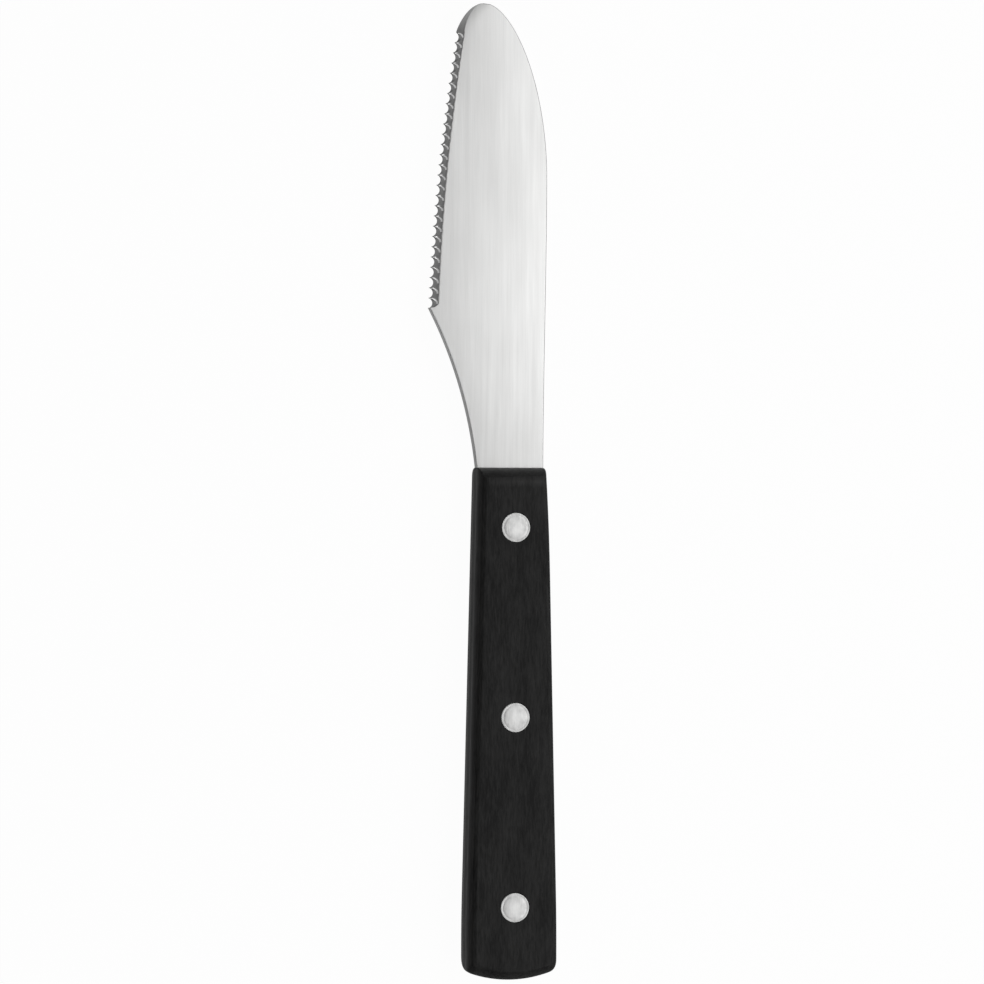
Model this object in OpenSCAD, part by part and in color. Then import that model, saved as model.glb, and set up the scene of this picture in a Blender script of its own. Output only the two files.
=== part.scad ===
// Breakfast spreading knife: a broad serrated blade with a full tang between two riveted scales.
// Millimetres. The knife lies on its lower scale, with its tip towards +Y and its spine towards +X.
// The origin is under the middle of the whole knife, on the surface that it lies on.
// Shapes are drawn from the handle's front end, on the line of the rivets, and moved there last.

/* [Blade] */
// Length of the blade in front of the handle
blade_length = 95; // [80:0.2:120]
// Thickness of the blade and its tang
blade_thickness = 1.8; // [1.2:0.1:2.6]
// Furthest reach of the spine from the rivet line
spine_reach = 7.45; // [7.2:0.05:10]
// Length over which the spine curves down to the tip
spine_curve = 35.4; // [30:0.2:45]
// Fullness of the spine's curve along the blade, where 2 is an ellipse
spine_fullness_along = 1.9; // [1.6:0.02:2.4]
// Fullness of the spine's curve across the blade
spine_fullness_across = 1.72; // [1.6:0.02:2.4]
// Offset of the tip from the rivet line, towards the edge
tip_offset = 5.76; // [3:0.02:8]
// Reach of the edge's front end from the rivet line
edge_front_reach = 11.45; // [10:0.05:14]
// Distance of the edge's front end behind the tip
edge_front_drop = 6; // [4:0.1:8]
// Fullness of the tip's edge side along the blade
tip_fullness_along = 1.2; // [1.1:0.01:2.2]
// Fullness of the tip's edge side across the blade
tip_fullness_across = 1.9; // [1.6:0.05:2.6]
// Half the width of the flat at the very end of the tip
tip_land = 0.3; // [0.1:0.05:0.6]
// Reach of the heel from the rivet line
heel_reach = 17.25; // [14:0.05:20]
// Distance of the heel from the handle
heel_distance = 32.5; // [24:0.1:44]
// Radius of the bowed edge, from tip to heel
edge_radius = 455; // [120:1:800]
// Radius of the hollow between heel and handle
choil_radius = 92; // [40:0.5:200]
// Chamfer along the spine and the hollow behind the heel
edge_break = 0.15; // [0.05:0.05:0.5]
// How far each face is ground down at the heel, on a curve that starts at the spine
grind_drop = 0.3; // [0:0.05:0.5]

/* [Serration] */
// Number of scallops ground into the edge
tooth_count = 27; // [16:1:34]
// Depth of the first scallop, at the tip, behind its tooth points
front_scallop_depth = 0.68; // [0.4:0.02:0.9]
// Depth of the last scallop, at the heel, behind its tooth points
heel_scallop_depth = 0.9; // [0.5:0.02:1]
// Height of the grinding balls' middles above the blade's full thickness
ball_rise = 0.25; // [0.1:0.05:1.5]
// Length of the plain land that is left at the heel
heel_land = 0.1; // [0.05:0.05:0.4]
// Radius of the last scallop's inner corner, at the land
heel_corner = 1.6; // [1:0.1:1.8]
// Width of the plain bevel between the first scallop and the tip
tip_bevel = 1.3; // [0.6:0.1:1.8]

/* [Handle] */
// Length of the handle
handle_length = 104.85; // [90:0.05:125]
// Width at the front end, before the spine side is eased in
front_width = 14.5; // [13:0.1:17]
// Width at the rear end
rear_width = 18.6; // [16:0.1:22]
// Length over which the handle widens
taper_length = 92.6; // [70:0.2:94]
// How far the spine side is eased in at the front end
spine_ease = 0.45; // [0:0.05:0.6]
// Length over which the spine side is eased in
spine_ease_length = 22; // [10:1:40]
// Thickness of each scale
scale_thickness = 4.65; // [3.6:0.05:6]
// How far each crowned side leans in at the outer face
side_lean = 0.55; // [0.4:0.05:1.6]
// How far the front end leans in at the outer face
front_lean = 1.85; // [0.6:0.05:2.4]
// Share by which the front end leans more on the edge side and less on the spine side
front_skew = 0.13; // [0:0.01:0.3]
// Rounding of the scales' front corners, seen from above
front_corner = 0.2; // [0.1:0.1:1]
// How far the rear end leans in at the outer face
rear_lean = 2; // [0.8:0.05:2.6]
// Radius of the softened edge at the sides and the rear of the outer face
arris_radius = 1.2; // [0.4:0.05:1.6]
// Radius of the softened edge at the front of the outer face
front_arris = 0.6; // [0.3:0.05:1.2]
// Radius of the bowed rear end, seen from above
rear_radius = 25; // [18:0.5:60]
// Rounding of the rear corners, seen from above
rear_corner = 1.2; // [0.6:0.1:2]

/* [Rivets] */
// Diameter of the heads
head_diameter = 6; // [5:0.1:8]
// Thickness of the heads
head_thickness = 2; // [1.2:0.1:2.6]
// Rise of the ground heads from rim to middle
head_crown = 0.05; // [0.03:0.01:0.25]
// Outer diameter of the tubular half
sleeve_diameter = 4.2; // [3.6:0.1:4.6]
// Diameter of the solid half's shank
pin_diameter = 2.8; // [2:0.1:3.2]
// Distance of the first rivet behind the handle's front end
first_rivet = 12.2; // [8:0.1:16]
// Distance from rivet to rivet
rivet_spacing = 38.75; // [30:0.05:42]

/* [Fits] */
// Gap round the rivets in the scales and the tang
rivet_clearance = 0.05; // [0.02:0.01:0.15]
// Gap at the end of each rivet half, so that the heads pull up tight
end_gap = 0.4; // [0.2:0.1:0.8]

/* [Hidden] */
$fn = 96;

// Steps along the curves of the outlines, with those of half the rear end
choil_steps = 14;
edge_steps = 22;
tip_steps = 16;
face_steps = 6;
side_steps = 12;
corner_steps = 4;
rear_steps = 6;
crown_steps = 5;
arris_steps = 6;
// Share of the taper over which the sides turn parallel
taper_blend = 0.06;
// Length over which an edge chamfer runs out
chamfer_run_out = 1.5;
// Overlap of a cutter past the surface that it cuts
past = 1;

upper_face = 2 * scale_thickness + blade_thickness;
tang_top = scale_thickness + blade_thickness;
edge_front = [-edge_front_reach, blade_length - edge_front_drop];
heel = [-heel_reach, heel_distance];
neck_edge = [-front_width / 2, 0];
neck_spine = front_width / 2 - spine_ease;
spine_turn = blade_length - spine_curve;

// The knife's box, which sets the origin
right_reach = max(rear_width / 2, spine_reach);
left_reach = max(rear_width / 2, heel_reach);
middle = [(right_reach - left_reach) / 2, (blade_length - handle_length) / 2];

function lerp(a, b, t) = a + (b - a) * t;
function smooth(t) = t * t * (3 - 2 * t);
function clamp(t) = max(0, min(1, t));
function unit(v) = v / norm(v);
function left_of(v) = [-v.y, v.x];

// A superellipse's quarter, which falls from 1 to 0
function quarter(t, along, across) = pow(max(0, 1 - pow(t, along)), 1 / across);

// Points of the arc between two points. The side is 1 for a centre on the left and -1 on the right.
function arc_centre(from, to, radius, side) =
    let (half = norm(to - from) / 2)
    (from + to) / 2 + side * sqrt(radius * radius - half * half) * unit(left_of(to - from));
function arc_point(from, to, radius, side, t) =
    let (
        centre = arc_centre(from, to, radius, side),
        half_sweep = asin(norm(to - from) / 2 / radius),
        out = unit((from + to) / 2 - centre),
        turn = side * lerp(-half_sweep, half_sweep, t)
    )
    centre + radius * (cos(turn) * out + sin(turn) * left_of(out));

// Half the handle's width at a distance behind its front end
function taper(t) =
    t < 1 - taper_blend ? t :
    t > 1 + taper_blend ? 1 :
    1 - pow(1 + taper_blend - t, 2) / (4 * taper_blend);
function half_width(behind) = lerp(front_width, rear_width, taper(behind / taper_length)) / 2;
function eased_in(behind) = spine_ease * pow(1 - clamp(behind / spine_ease_length), 2);
function side_x(side, y, lean) =
    side * (half_width(-y) - lean - (side > 0 ? eased_in(-y) : 0));
function rear_y(x, lean) =
    rear_radius - handle_length - sqrt(pow(rear_radius - lean, 2) - x * x);

// A corner's points, from one end to the other of a curve that its two sides touch
function rounded(first, corner, last, steps) =
    [for (i = [0 : steps])
        let (t = i / steps)
        pow(1 - t, 2) * first + 2 * t * (1 - t) * corner + t * t * last];

// The handle's outline, leant in by its own amount at the sides, the front and the rear. It runs from
// the front end down the edge side, across the rear and up the spine side, which is 1. A front corner
// of 0 leaves a sharp one.
function half_outline(side, lean_side, lean_front, lean_rear, corner) =
    let (
        front_y = -lean_front * (1 - side * front_skew),
        front = [side_x(side, front_y, lean_side), front_y],
        side_start = [side_x(side, front_y - corner, lean_side), front_y - corner],
        rear_x = rear_width / 2 - lean_side,
        rear = [side * rear_x, rear_y(rear_x, lean_rear)],
        across = rear_x - rear_corner,
        rear_start = rear + [0, rear_corner],
        rear_end = [side * across, rear_y(across, lean_rear)]
    )
    concat(
        corner > 0 ? rounded(front - [side * corner, 0], front, side_start, corner_steps) : [front],
        [for (i = [1 : side_steps - 1])
            let (y = lerp(side_start.y, rear_start.y, i / side_steps))
            [side_x(side, y, lean_side), y]],
        rounded(rear_start, rear, rear_end, corner_steps),
        [for (i = [1 : rear_steps])
            let (x = across * (1 - i / (rear_steps + 0.5)))
            [side * x, rear_y(x, lean_rear)]]
    );
function handle_outline(lean_side, lean_front, lean_rear, corner) =
    let (
        edge_half = half_outline(-1, lean_side, lean_front, lean_rear, corner),
        spine_half = half_outline(1, lean_side, lean_front, lean_rear, corner),
        last = len(spine_half) - 1
    )
    concat(edge_half, [for (i = [last : -1 : 0]) spine_half[i]]);

// How far a crowned wall has leant in at a height above the tang, with its outer edge rounded over
function lean_at(z, lean, arris) =
    let (
        crown = (pow(scale_thickness, 2) + lean * lean) / (2 * lean),
        z_turn = (scale_thickness - arris) / (1 - arris / crown),
        level = sqrt(crown * crown - z_turn * z_turn),
        middle_of_arris = crown - level + arris * level / crown
    )
    z < z_turn
        ? crown - sqrt(crown * crown - z * z)
        : middle_of_arris - sqrt(max(0, arris * arris - pow(z - scale_thickness + arris, 2)));

// A solid through rings of equal length, which run anticlockwise seen from the last ring's side. Each
// ring has an even count, and its first half faces its second half, so that strips close its ends.
module loft(rings) {
    count = len(rings[0]);
    last = (len(rings) - 1) * count;
    strips = [for (i = [0 : count / 2 - 2]) [i, i + 1, count - 2 - i, count - 1 - i]];
    polyhedron(
        points = [for (ring = rings) each ring],
        faces = concat(
            strips,
            [for (s = strips) [for (i = [3 : -1 : 0]) last + s[i]]],
            [for (r = [0 : count : last - 1], i = [0 : count - 1])
                let (next = (i + 1) % count)
                [r + i, r + count + i, r + count + next, r + next]]
        )
    );
}

// The blade's two sides, as reaches across the rivet line at a distance in front of the handle
choil_centre = arc_centre(heel, neck_edge, choil_radius, -1);
edge_centre = arc_centre(edge_front, heel, edge_radius, 1);
function spine_x(y) =
    y < spine_turn
        ? lerp(neck_spine, spine_reach, smooth(y / spine_turn))
        : lerp(
            tip_land - tip_offset,
            spine_reach,
            quarter((y - spine_turn) / spine_curve, spine_fullness_along, spine_fullness_across)
        );
function edge_x(y) =
    y < heel.y ? choil_centre.x + sqrt(pow(choil_radius, 2) - pow(y - choil_centre.y, 2)) :
    y < edge_front.y ? edge_centre.x - sqrt(pow(edge_radius, 2) - pow(y - edge_centre.y, 2)) :
    lerp(
        -tip_land - tip_offset,
        edge_front.x,
        quarter((y - edge_front.y) / edge_front_drop, tip_fullness_along, tip_fullness_across)
    );
function edge_chamfer(y) = edge_break * smooth(clamp((heel.y - y) / chamfer_run_out));
stations = concat(
    [for (i = [0 : choil_steps - 1]) heel.y * i / choil_steps],
    [for (i = [0 : edge_steps - 1]) lerp(heel.y, edge_front.y, i / edge_steps)],
    [for (i = [0 : tip_steps]) lerp(edge_front.y, blade_length, sin(90 * i / tip_steps))]
);

// How far a face is ground down. The grind starts at the handle and is full from the heel on.
function ground(x, y) =
    grind_drop
    * pow((spine_reach - x) / (spine_reach + heel_reach), 2)
    * smooth(clamp(y / heel_distance));
function blade_section(y) =
    let (
        left = edge_x(y),
        right = spine_x(y),
        cut = edge_chamfer(y),
        xs = [for (i = [0 : face_steps]) lerp(left + cut, right - edge_break, i / face_steps)],
        upper = concat(
            [[left, blade_thickness - cut - ground(left, y)]],
            [for (x = xs) [x, blade_thickness - ground(x, y)]],
            [[right, blade_thickness - edge_break - ground(right, y)]]
        ),
        last = len(upper) - 1
    )
    concat(
        [for (p = upper) [p.x, y, p.y]],
        [for (i = [last : -1 : 0]) [upper[i].x, y, blade_thickness - upper[i].y]]
    );

// Each scallop is ground by a ball that reaches its full depth at the lower face of the blade. The
// scallops deepen evenly towards the heel.
pitch = norm(heel - edge_front) / tooth_count;
function edge_point(t) = arc_point(edge_front, heel, edge_radius, 1, t);
module scallop(index) {
    depth = lerp(front_scallop_depth, heel_scallop_depth, index / (tooth_count - 1));
    radius = (pow(pitch / 2, 2) + depth * depth) / (2 * depth);
    out = unit(edge_point((index + 0.5) / tooth_count) - edge_centre);
    middle_of_teeth = (edge_point(index / tooth_count) + edge_point((index + 1) / tooth_count)) / 2;
    ball = middle_of_teeth + out * (radius - depth);
    height = blade_thickness + ball_rise;
    fall = height - ground(middle_of_teeth.x, middle_of_teeth.y);
    translate([ball.x, ball.y, height])
        rotate(180)
            sphere(r = norm([radius, fall]));
}

// The last scallop ends with a rounded corner at the land, which keeps the heel's full thickness
module serration_end() {
    side = 2 * blade_length;
    corner = [heel.x + heel_scallop_depth / 2, heel.y + heel_land + heel_corner];
    translate([-blade_length, corner.y, -blade_length])
        cube(side);
    translate([corner.x - side, heel.y + heel_land, -blade_length])
        cube(side);
    translate([corner.x, corner.y, -blade_length])
        cylinder(h = side, r = heel_corner);
}
module scallops() {
    last = tooth_count - 1;
    for (index = [0 : last - 2])
        scallop(index);
    intersection() {
        union() {
            scallop(last - 1);
            scallop(last);
        }
        serration_end();
    }
}

// The plain bevel in front of the teeth runs out to nothing at the tip
module tip_bevel_cut() {
    rise = edge_front_drop;
    reach = edge_front_reach - tip_bevel;
    middle_x = (reach * reach - tip_offset * tip_offset - rise * rise) / (2 * (reach - tip_offset));
    front_radius = reach - middle_x;
    back_radius = front_radius + tip_bevel;
    drop = ground(edge_front.x, edge_front.y);
    thickness = blade_thickness - 2 * drop;
    slope = tip_bevel / thickness;
    translate([0, edge_front.y, drop])
        difference() {
            translate([-edge_front_reach - past, 0, -past])
                cube([edge_front_reach - tip_offset + past, rise + past, thickness + 2 * past]);
            translate([-middle_x, 0, -2 * past])
                cylinder(
                    h = thickness + 4 * past,
                    r1 = back_radius + 2 * past * slope,
                    r2 = front_radius - 2 * past * slope
                );
        }
}

function rivet_y(index) = -first_rivet - index * rivet_spacing;
module rivet_holes(diameter, height) {
    for (index = [0 : 2])
        translate([0, rivet_y(index), -past])
            cylinder(h = height + 2 * past, d = diameter + 2 * rivet_clearance);
}

module placed() {
    translate([-middle.x, -middle.y, 0])
        children();
}

module blade() {
    color("silver")
        placed()
            translate([0, 0, scale_thickness])
                difference() {
                    union() {
                        loft([for (y = stations) blade_section(y)]);
                        linear_extrude(blade_thickness)
                            polygon(handle_outline(0, 0, 0, 0));
                    }
                    scallops();
                    tip_bevel_cut();
                    rivet_holes(sleeve_diameter, blade_thickness);
                }
}

// A scale with its flat inner face at height 0 and its outer face up
module scale_half() {
    rounded_height = max(arris_radius, front_arris);
    levels = concat(
        [for (i = [0 : crown_steps - 1]) (scale_thickness - rounded_height) * i / crown_steps],
        [for (i = [0 : arris_steps])
            scale_thickness - rounded_height * (1 - sin(90 * i / arris_steps))]
    );
    color("#242424")
        difference() {
            loft([
                for (z = levels)
                    let (outline = handle_outline(
                        lean_at(z, side_lean, arris_radius),
                        lean_at(z, front_lean, front_arris),
                        lean_at(z, rear_lean, arris_radius),
                        front_corner
                    ))
                    [for (p = outline) [p.x, p.y, z]]
            ]);
            rivet_holes(sleeve_diameter, scale_thickness);
            translate([0, 0, scale_thickness - head_thickness + past])
                rivet_holes(head_diameter, head_thickness);
        }
}

module upper_scale() {
    placed()
        translate([0, 0, tang_top])
            scale_half();
}

module lower_scale() {
    placed()
        translate([0, 0, scale_thickness])
            mirror([0, 0, 1])
                scale_half();
}

// A head whose ground face rises to height 0 in the middle, with its seat below
module rivet_head() {
    crown_radius = (pow(head_diameter / 2, 2) + pow(head_crown, 2)) / (2 * head_crown);
    intersection() {
        translate([0, 0, -head_thickness])
            cylinder(h = head_thickness + past, d = head_diameter);
        translate([0, 0, -crown_radius])
            sphere(r = crown_radius);
    }
}

// The solid half drops from the upper face into the sleeve
module rivet_pin(index) {
    shank = upper_face - 2 * head_thickness - end_gap;
    color("gainsboro")
        placed()
            translate([0, rivet_y(index), upper_face]) {
                rivet_head();
                translate([0, 0, -head_thickness - shank])
                    cylinder(h = shank + past, d = pin_diameter);
            }
}

// The tubular half comes up from the lower face and stops short of the pin's head
module rivet_sleeve(index) {
    tube = upper_face - 2 * head_thickness - end_gap;
    color("gainsboro")
        placed()
            translate([0, rivet_y(index), 0])
                difference() {
                    union() {
                        mirror([0, 0, 1])
                            rivet_head();
                        translate([0, 0, past])
                            cylinder(h = head_thickness - past + tube, d = sleeve_diameter);
                    }
                    translate([0, 0, head_thickness])
                        cylinder(h = tube + past, d = pin_diameter);
                }
}

blade();
upper_scale();
lower_scale();
rivet_pin(0);  // front_rivet_pin
rivet_pin(1);  // middle_rivet_pin
rivet_pin(2);  // rear_rivet_pin
rivet_sleeve(0);  // front_rivet_sleeve
rivet_sleeve(1);  // middle_rivet_sleeve
rivet_sleeve(2);  // rear_rivet_sleeve
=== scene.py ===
import math

import bmesh
import bpy
from mathutils import Matrix, Vector


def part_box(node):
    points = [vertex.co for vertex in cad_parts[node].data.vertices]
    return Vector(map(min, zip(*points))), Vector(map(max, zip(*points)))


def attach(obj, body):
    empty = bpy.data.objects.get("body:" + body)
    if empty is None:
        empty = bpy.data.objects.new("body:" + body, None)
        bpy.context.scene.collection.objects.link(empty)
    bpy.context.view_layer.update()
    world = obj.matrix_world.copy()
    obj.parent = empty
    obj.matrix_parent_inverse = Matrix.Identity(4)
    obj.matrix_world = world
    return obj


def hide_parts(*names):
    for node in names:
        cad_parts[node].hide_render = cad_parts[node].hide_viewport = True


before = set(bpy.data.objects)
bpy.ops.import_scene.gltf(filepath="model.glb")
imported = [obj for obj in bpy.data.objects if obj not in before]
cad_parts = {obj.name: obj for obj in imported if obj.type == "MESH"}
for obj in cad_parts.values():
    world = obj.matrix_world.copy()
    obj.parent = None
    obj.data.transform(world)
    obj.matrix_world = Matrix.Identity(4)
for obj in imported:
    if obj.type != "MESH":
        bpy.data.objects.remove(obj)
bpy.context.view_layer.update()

MM = 0.001

# Places in the frame, in metres
RIVETS = ["front", "middle", "rear"]
pin_low, pin_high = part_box("front_rivet_pin")
upper_low, upper_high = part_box("upper_scale")
lower_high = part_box("lower_scale")[1]
blade_low, blade_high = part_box("blade")
axis_x = (pin_low.x + pin_high.x) / 2
front_y = upper_high.y

# Shapes are drawn in millimetres from the handle's front end on the line of the rivets,
# with height 0 on the floor. These sizes come from the frame.
blade_length = (blade_high.y - front_y) / MM
handle_length = (front_y - blade_low.y) / MM
rear_width = 2 * (blade_high.x - axis_x) / MM
heel_reach = (axis_x - blade_low.x) / MM
tang_bottom = lower_high.z / MM
tang_top = upper_low.z / MM
upper_face = upper_high.z / MM
scale_thickness = upper_face - tang_top
head_diameter = (pin_high.x - pin_low.x) / MM

# Outline and grind of the blade
SPINE_REACH = 7.45
SPINE_CURVE = 35.4
SPINE_FULLNESS_ALONG = 1.9
SPINE_FULLNESS_ACROSS = 1.72
TIP_OFFSET = 5.76
TIP_LAND = 0.3
TIP_FULLNESS_ALONG = 1.2
TIP_FULLNESS_ACROSS = 1.9
EDGE_FRONT_REACH = 11.45
EDGE_FRONT_DROP = 6
HEEL_DISTANCE = 32.5
EDGE_RADIUS = 455
CHOIL_RADIUS = 92
EDGE_BREAK = 0.15
HEEL_BREAK = 0.3
NECK_BREAK = 0.12
HEEL_TURN = 1.2
GRIND_DROP = 0.3

# The polished face rolls over a little more near the tip's edge side
TIP_ROLL = 0.1
TIP_ROLL_WIDTH = 3.5
TIP_ROLL_LENGTH = 12

# Serration. The rim between a scallop and the bevel is rounded, and a band of it gets a painted highlight.
TOOTH_COUNT = 27
FRONT_SCALLOP_DEPTH = 0.68
HEEL_SCALLOP_DEPTH = 0.9
SCALLOP_SLANT = 0.45
SCALLOP_LIP = 0.12
SCALLOP_RIM = 0.22
RIM_GROWTH = 3
RIM_BAND = 0.17
RIM_START = 0.38
RIM_END = 0.1
TIP_BEVEL = 1.3
HEEL_BEVEL = 1.8
HEEL_LAND = 0.1
HEEL_CORNER = 1.6
HEEL_STEP = 0.02

# Handle
FRONT_WIDTH = 14.5
TAPER_LENGTH = 92.6
TAPER_BLEND = 0.06
SPINE_EASE = 0.45
SPINE_EASE_LENGTH = 22
SIDE_LEAN = 0.55
FRONT_LEAN = 1.85
FRONT_SKEW = 0.13
FRONT_CORNER = 0.2
REAR_LEAN = 2
ARRIS_RADIUS = 0.95
FRONT_ARRIS = 0.6
REAR_RADIUS = 25
REAR_CORNER = 1.2

# Rivets
HEAD_THICKNESS = 2
HEAD_CROWN = 0.04
HEAD_RIM = 0.1
GROOVE_PLACE = 0.86
GROOVE_WIDTH = 0.07
GROOVE_DEPTH = 0.015
SLEEVE_DIAMETER = 4.2
PIN_DIAMETER = 2.8
RIVET_CLEARANCE = 0.05

# Fineness of the meshes. Bunched steps are closer together at the heel, or by the edge.
TIP_STEPS = 44
TOOTH_STEPS = 24
HEEL_STEPS = 24
CHOIL_STEPS = 60
CHOIL_BUNCHING = 1.6
SIDE_STEPS = 60
CORNER_STEPS = 10
REAR_STEPS = 20
WALL_STEPS = 18
FACE_STEPS = 26
FACE_BUNCHING = 1.4
FACE_MARGIN = 0.1
CROWN_STEPS = 12
ARRIS_STEPS = 12
FLAT_INSETS = (0.12, 0.45)
HEAD_STEPS = 40
HEAD_RIM_STEPS = 5
TURN_STEPS = 96
RIM_SEARCH_STEPS = 14
RIM_SEARCH_REACH = 3
SLOPE_STEP = 0.01
SHARP_ANGLE = math.radians(28)


def lerp(a, b, t):
    return a + (b - a) * t


def clamp(t):
    return max(0.0, min(1.0, t))


def smooth(t):
    t = clamp(t)
    return t * t * (3 - 2 * t)


def placed(x, y, z):
    """A point of the drawing, in the frame."""
    return Vector((axis_x + x * MM, front_y + y * MM, z * MM))


# Outline of the blade
def quarter(t, along, across):
    """A superellipse's quarter, which falls from 1 to 0."""
    return max(0.0, 1 - t**along) ** (1 / across)


def arc_centre(start, end, radius, side):
    """Centre of the arc between two points, on the left for side 1 and on the right for -1."""
    chord = end - start
    left = Vector((-chord.y, chord.x)).normalized()
    return (start + end) / 2 + left * side * math.sqrt(radius**2 - (chord.length / 2) ** 2)


def arc_point(start, end, centre, t):
    """A point at a share of the way along the arc."""
    first, last = start - centre, end - centre
    turn = first.angle_signed(last) * t
    c, s = math.cos(-turn), math.sin(-turn)
    return centre + Vector((first.x * c - first.y * s, first.x * s + first.y * c))


edge_front = Vector((-EDGE_FRONT_REACH, blade_length - EDGE_FRONT_DROP))
heel = Vector((-heel_reach, HEEL_DISTANCE))
heel_corner = heel + Vector((HEEL_SCALLOP_DEPTH / 2, HEEL_LAND + HEEL_CORNER))
neck = Vector((-FRONT_WIDTH / 2, 0))
edge_centre = arc_centre(edge_front, heel, EDGE_RADIUS, 1)
choil_centre = arc_centre(heel, neck, CHOIL_RADIUS, -1)
spine_turn = blade_length - SPINE_CURVE


def spine_x(y):
    if y < spine_turn:
        return lerp(FRONT_WIDTH / 2 - SPINE_EASE, SPINE_REACH, smooth(y / spine_turn))
    fall = quarter((y - spine_turn) / SPINE_CURVE, SPINE_FULLNESS_ALONG, SPINE_FULLNESS_ACROSS)
    return lerp(TIP_LAND - TIP_OFFSET, SPINE_REACH, fall)


def tip_x(y):
    fall = quarter((y - edge_front.y) / EDGE_FRONT_DROP, TIP_FULLNESS_ALONG, TIP_FULLNESS_ACROSS)
    return lerp(-TIP_LAND - TIP_OFFSET, -EDGE_FRONT_REACH, fall)


def edge_x(y):
    """Reach of the edge in front of the heel."""
    if y > edge_front.y:
        return tip_x(y)
    return edge_centre.x - math.sqrt(EDGE_RADIUS**2 - (y - edge_centre.y) ** 2)


def normal_of(curve, y):
    """The normal, towards +X, of an outline that is a function of the distance along the knife."""
    slope = (curve(y) - curve(y - SLOPE_STEP)) / SLOPE_STEP
    return Vector((1, -slope)).normalized()


def face_drop(x, y):
    """How far each face of the blade is ground down, most of all at the edge."""
    across = (SPINE_REACH - x) / (SPINE_REACH + heel_reach)
    drop = GRIND_DROP * across**2 * smooth(y / HEEL_DISTANCE)
    near_tip = smooth(1 - (blade_length - y) / TIP_ROLL_LENGTH)
    if near_tip > 0:
        drop += TIP_ROLL * near_tip * max(0.0, 1 - (x - edge_x(y)) / TIP_ROLL_WIDTH) ** 2
    return drop


def face_top(p):
    return tang_top - face_drop(p.x, p.y)


def face_bottom(p):
    return tang_bottom + face_drop(p.x, p.y)


# The ground edge, whose scallops slant in from the lower face to the upper one
def tooth_point(t):
    return arc_point(edge_front, heel, edge_centre, t)


def scallop_circles():
    """Centre and radius of each scallop at the lower face. They deepen evenly towards the heel."""
    pitch = (heel - edge_front).length / TOOTH_COUNT
    circles = []
    for i in range(TOOTH_COUNT):
        depth = lerp(FRONT_SCALLOP_DEPTH, HEEL_SCALLOP_DEPTH, i / (TOOTH_COUNT - 1))
        radius = ((pitch / 2) ** 2 + depth**2) / (2 * depth)
        middle = (tooth_point(i / TOOTH_COUNT) + tooth_point((i + 1) / TOOTH_COUNT)) / 2
        out = (middle - edge_centre).normalized()
        circles.append((middle + out * (radius - depth), radius))
    return circles


CIRCLES = scallop_circles()


def bevel_width(y):
    """Width of the bevel along the serrated edge."""
    return lerp(TIP_BEVEL, HEEL_BEVEL, clamp((edge_front.y - y) / (edge_front.y - heel.y)))


def scallop_inset(p, rise):
    """How deep the scallops cut in from an edge point, at a share of the blade's thickness."""
    deepest = 0.0
    for centre, radius in CIRCLES:
        off = abs(p.y - centre.y)
        if off < radius:
            deepest = max(deepest, centre.x + math.sqrt(radius**2 - off**2) - p.x)
    return deepest + SCALLOP_SLANT * bevel_width(p.y) * rise if deepest > 0 else 0.0


def scallop_gap(p, inset, rise):
    """How far a point that lies in from an edge point is outside the scallops."""
    x = p.x + inset - SCALLOP_SLANT * bevel_width(p.y) * rise
    gaps = [
        math.hypot(x - centre.x, p.y - centre.y) - radius
        for centre, radius in CIRCLES
        if abs(p.y - centre.y) < 2 * radius
    ]
    return min(gaps, default=1.0)


def corner_x(y):
    """Furthest reach of the last scallop, whose inner corner is rounded."""
    if y > heel_corner.y:
        return SPINE_REACH
    return heel_corner.x + math.sqrt(max(0.0, HEEL_CORNER**2 - (heel_corner.y - y) ** 2))


def ground_inset(p, bevel, rise):
    """The bevel and the scallops together, with a rounded rim between them. The bevel is a width at
    the upper face and how much of it is lost down to the lower one."""
    width, run = bevel
    plain = max(0.0, width - run * (1 - rise))
    scallop = scallop_inset(p, rise)
    rim = SCALLOP_RIM * min(1.0, RIM_GROWTH * rise)
    low = max(plain, scallop)
    if scallop > 0 and rim > 0:
        high = low + RIM_SEARCH_REACH * rim
        for _ in range(RIM_SEARCH_STEPS):
            middle = (low + high) / 2
            inside = (middle - plain) * scallop_gap(p, middle, rise) > rim**2 / 4
            low, high = (low, middle) if inside else (middle, high)
    return min(low, corner_x(p.y) - p.x)


def on_rim(p):
    """Whether a point of the ground edge is on the band of a scallop's rim that gets a painted highlight,
    at its side to the tip.
    """
    if not heel.y < p.y < edge_front.y:
        return False
    edge = Vector((edge_x(p.y), p.y))
    rise = (p.z - face_bottom(edge)) / (face_top(edge) - face_bottom(edge))
    inset = p.x - edge.x
    centre, radius = min(CIRCLES, key=lambda circle: abs(circle[0].y - p.y))
    far = max(abs(inset - bevel_width(p.y) * rise), scallop_gap(edge, inset, rise))
    return far < RIM_BAND and inset > RIM_START and p.y > centre.y - RIM_END * radius


def round_inset(depth, radius):
    """How far a rounded edge has gone in, at a depth below the face."""
    if depth >= radius:
        return 0.0
    return radius - math.sqrt(max(0.0, radius**2 - (radius - depth) ** 2))


def wall(p, inward, radius=0.0, bevel=None):
    """Points up a wall of the blade, from its lower face to its upper one. A wall with a bevel is
    ground, with a soft lip at the upper face."""
    bottom, top = face_bottom(p), face_top(p)

    def inset(z):
        found = max(round_inset(top - z, radius), round_inset(z - bottom, radius))
        if bevel is None:
            return found
        cut = ground_inset(p, bevel, (z - bottom) / (top - bottom))
        return max(found, cut + round_inset(top - z, SCALLOP_LIP))

    top = face_top(p + inward * inset(top))
    points = []
    for k in range(WALL_STEPS + 1):
        z = lerp(bottom, top, 0.5 - 0.5 * math.cos(math.pi * k / WALL_STEPS))
        q = p + inward * inset(z)
        points.append(Vector((q.x, q.y, z)))
    return points


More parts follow.
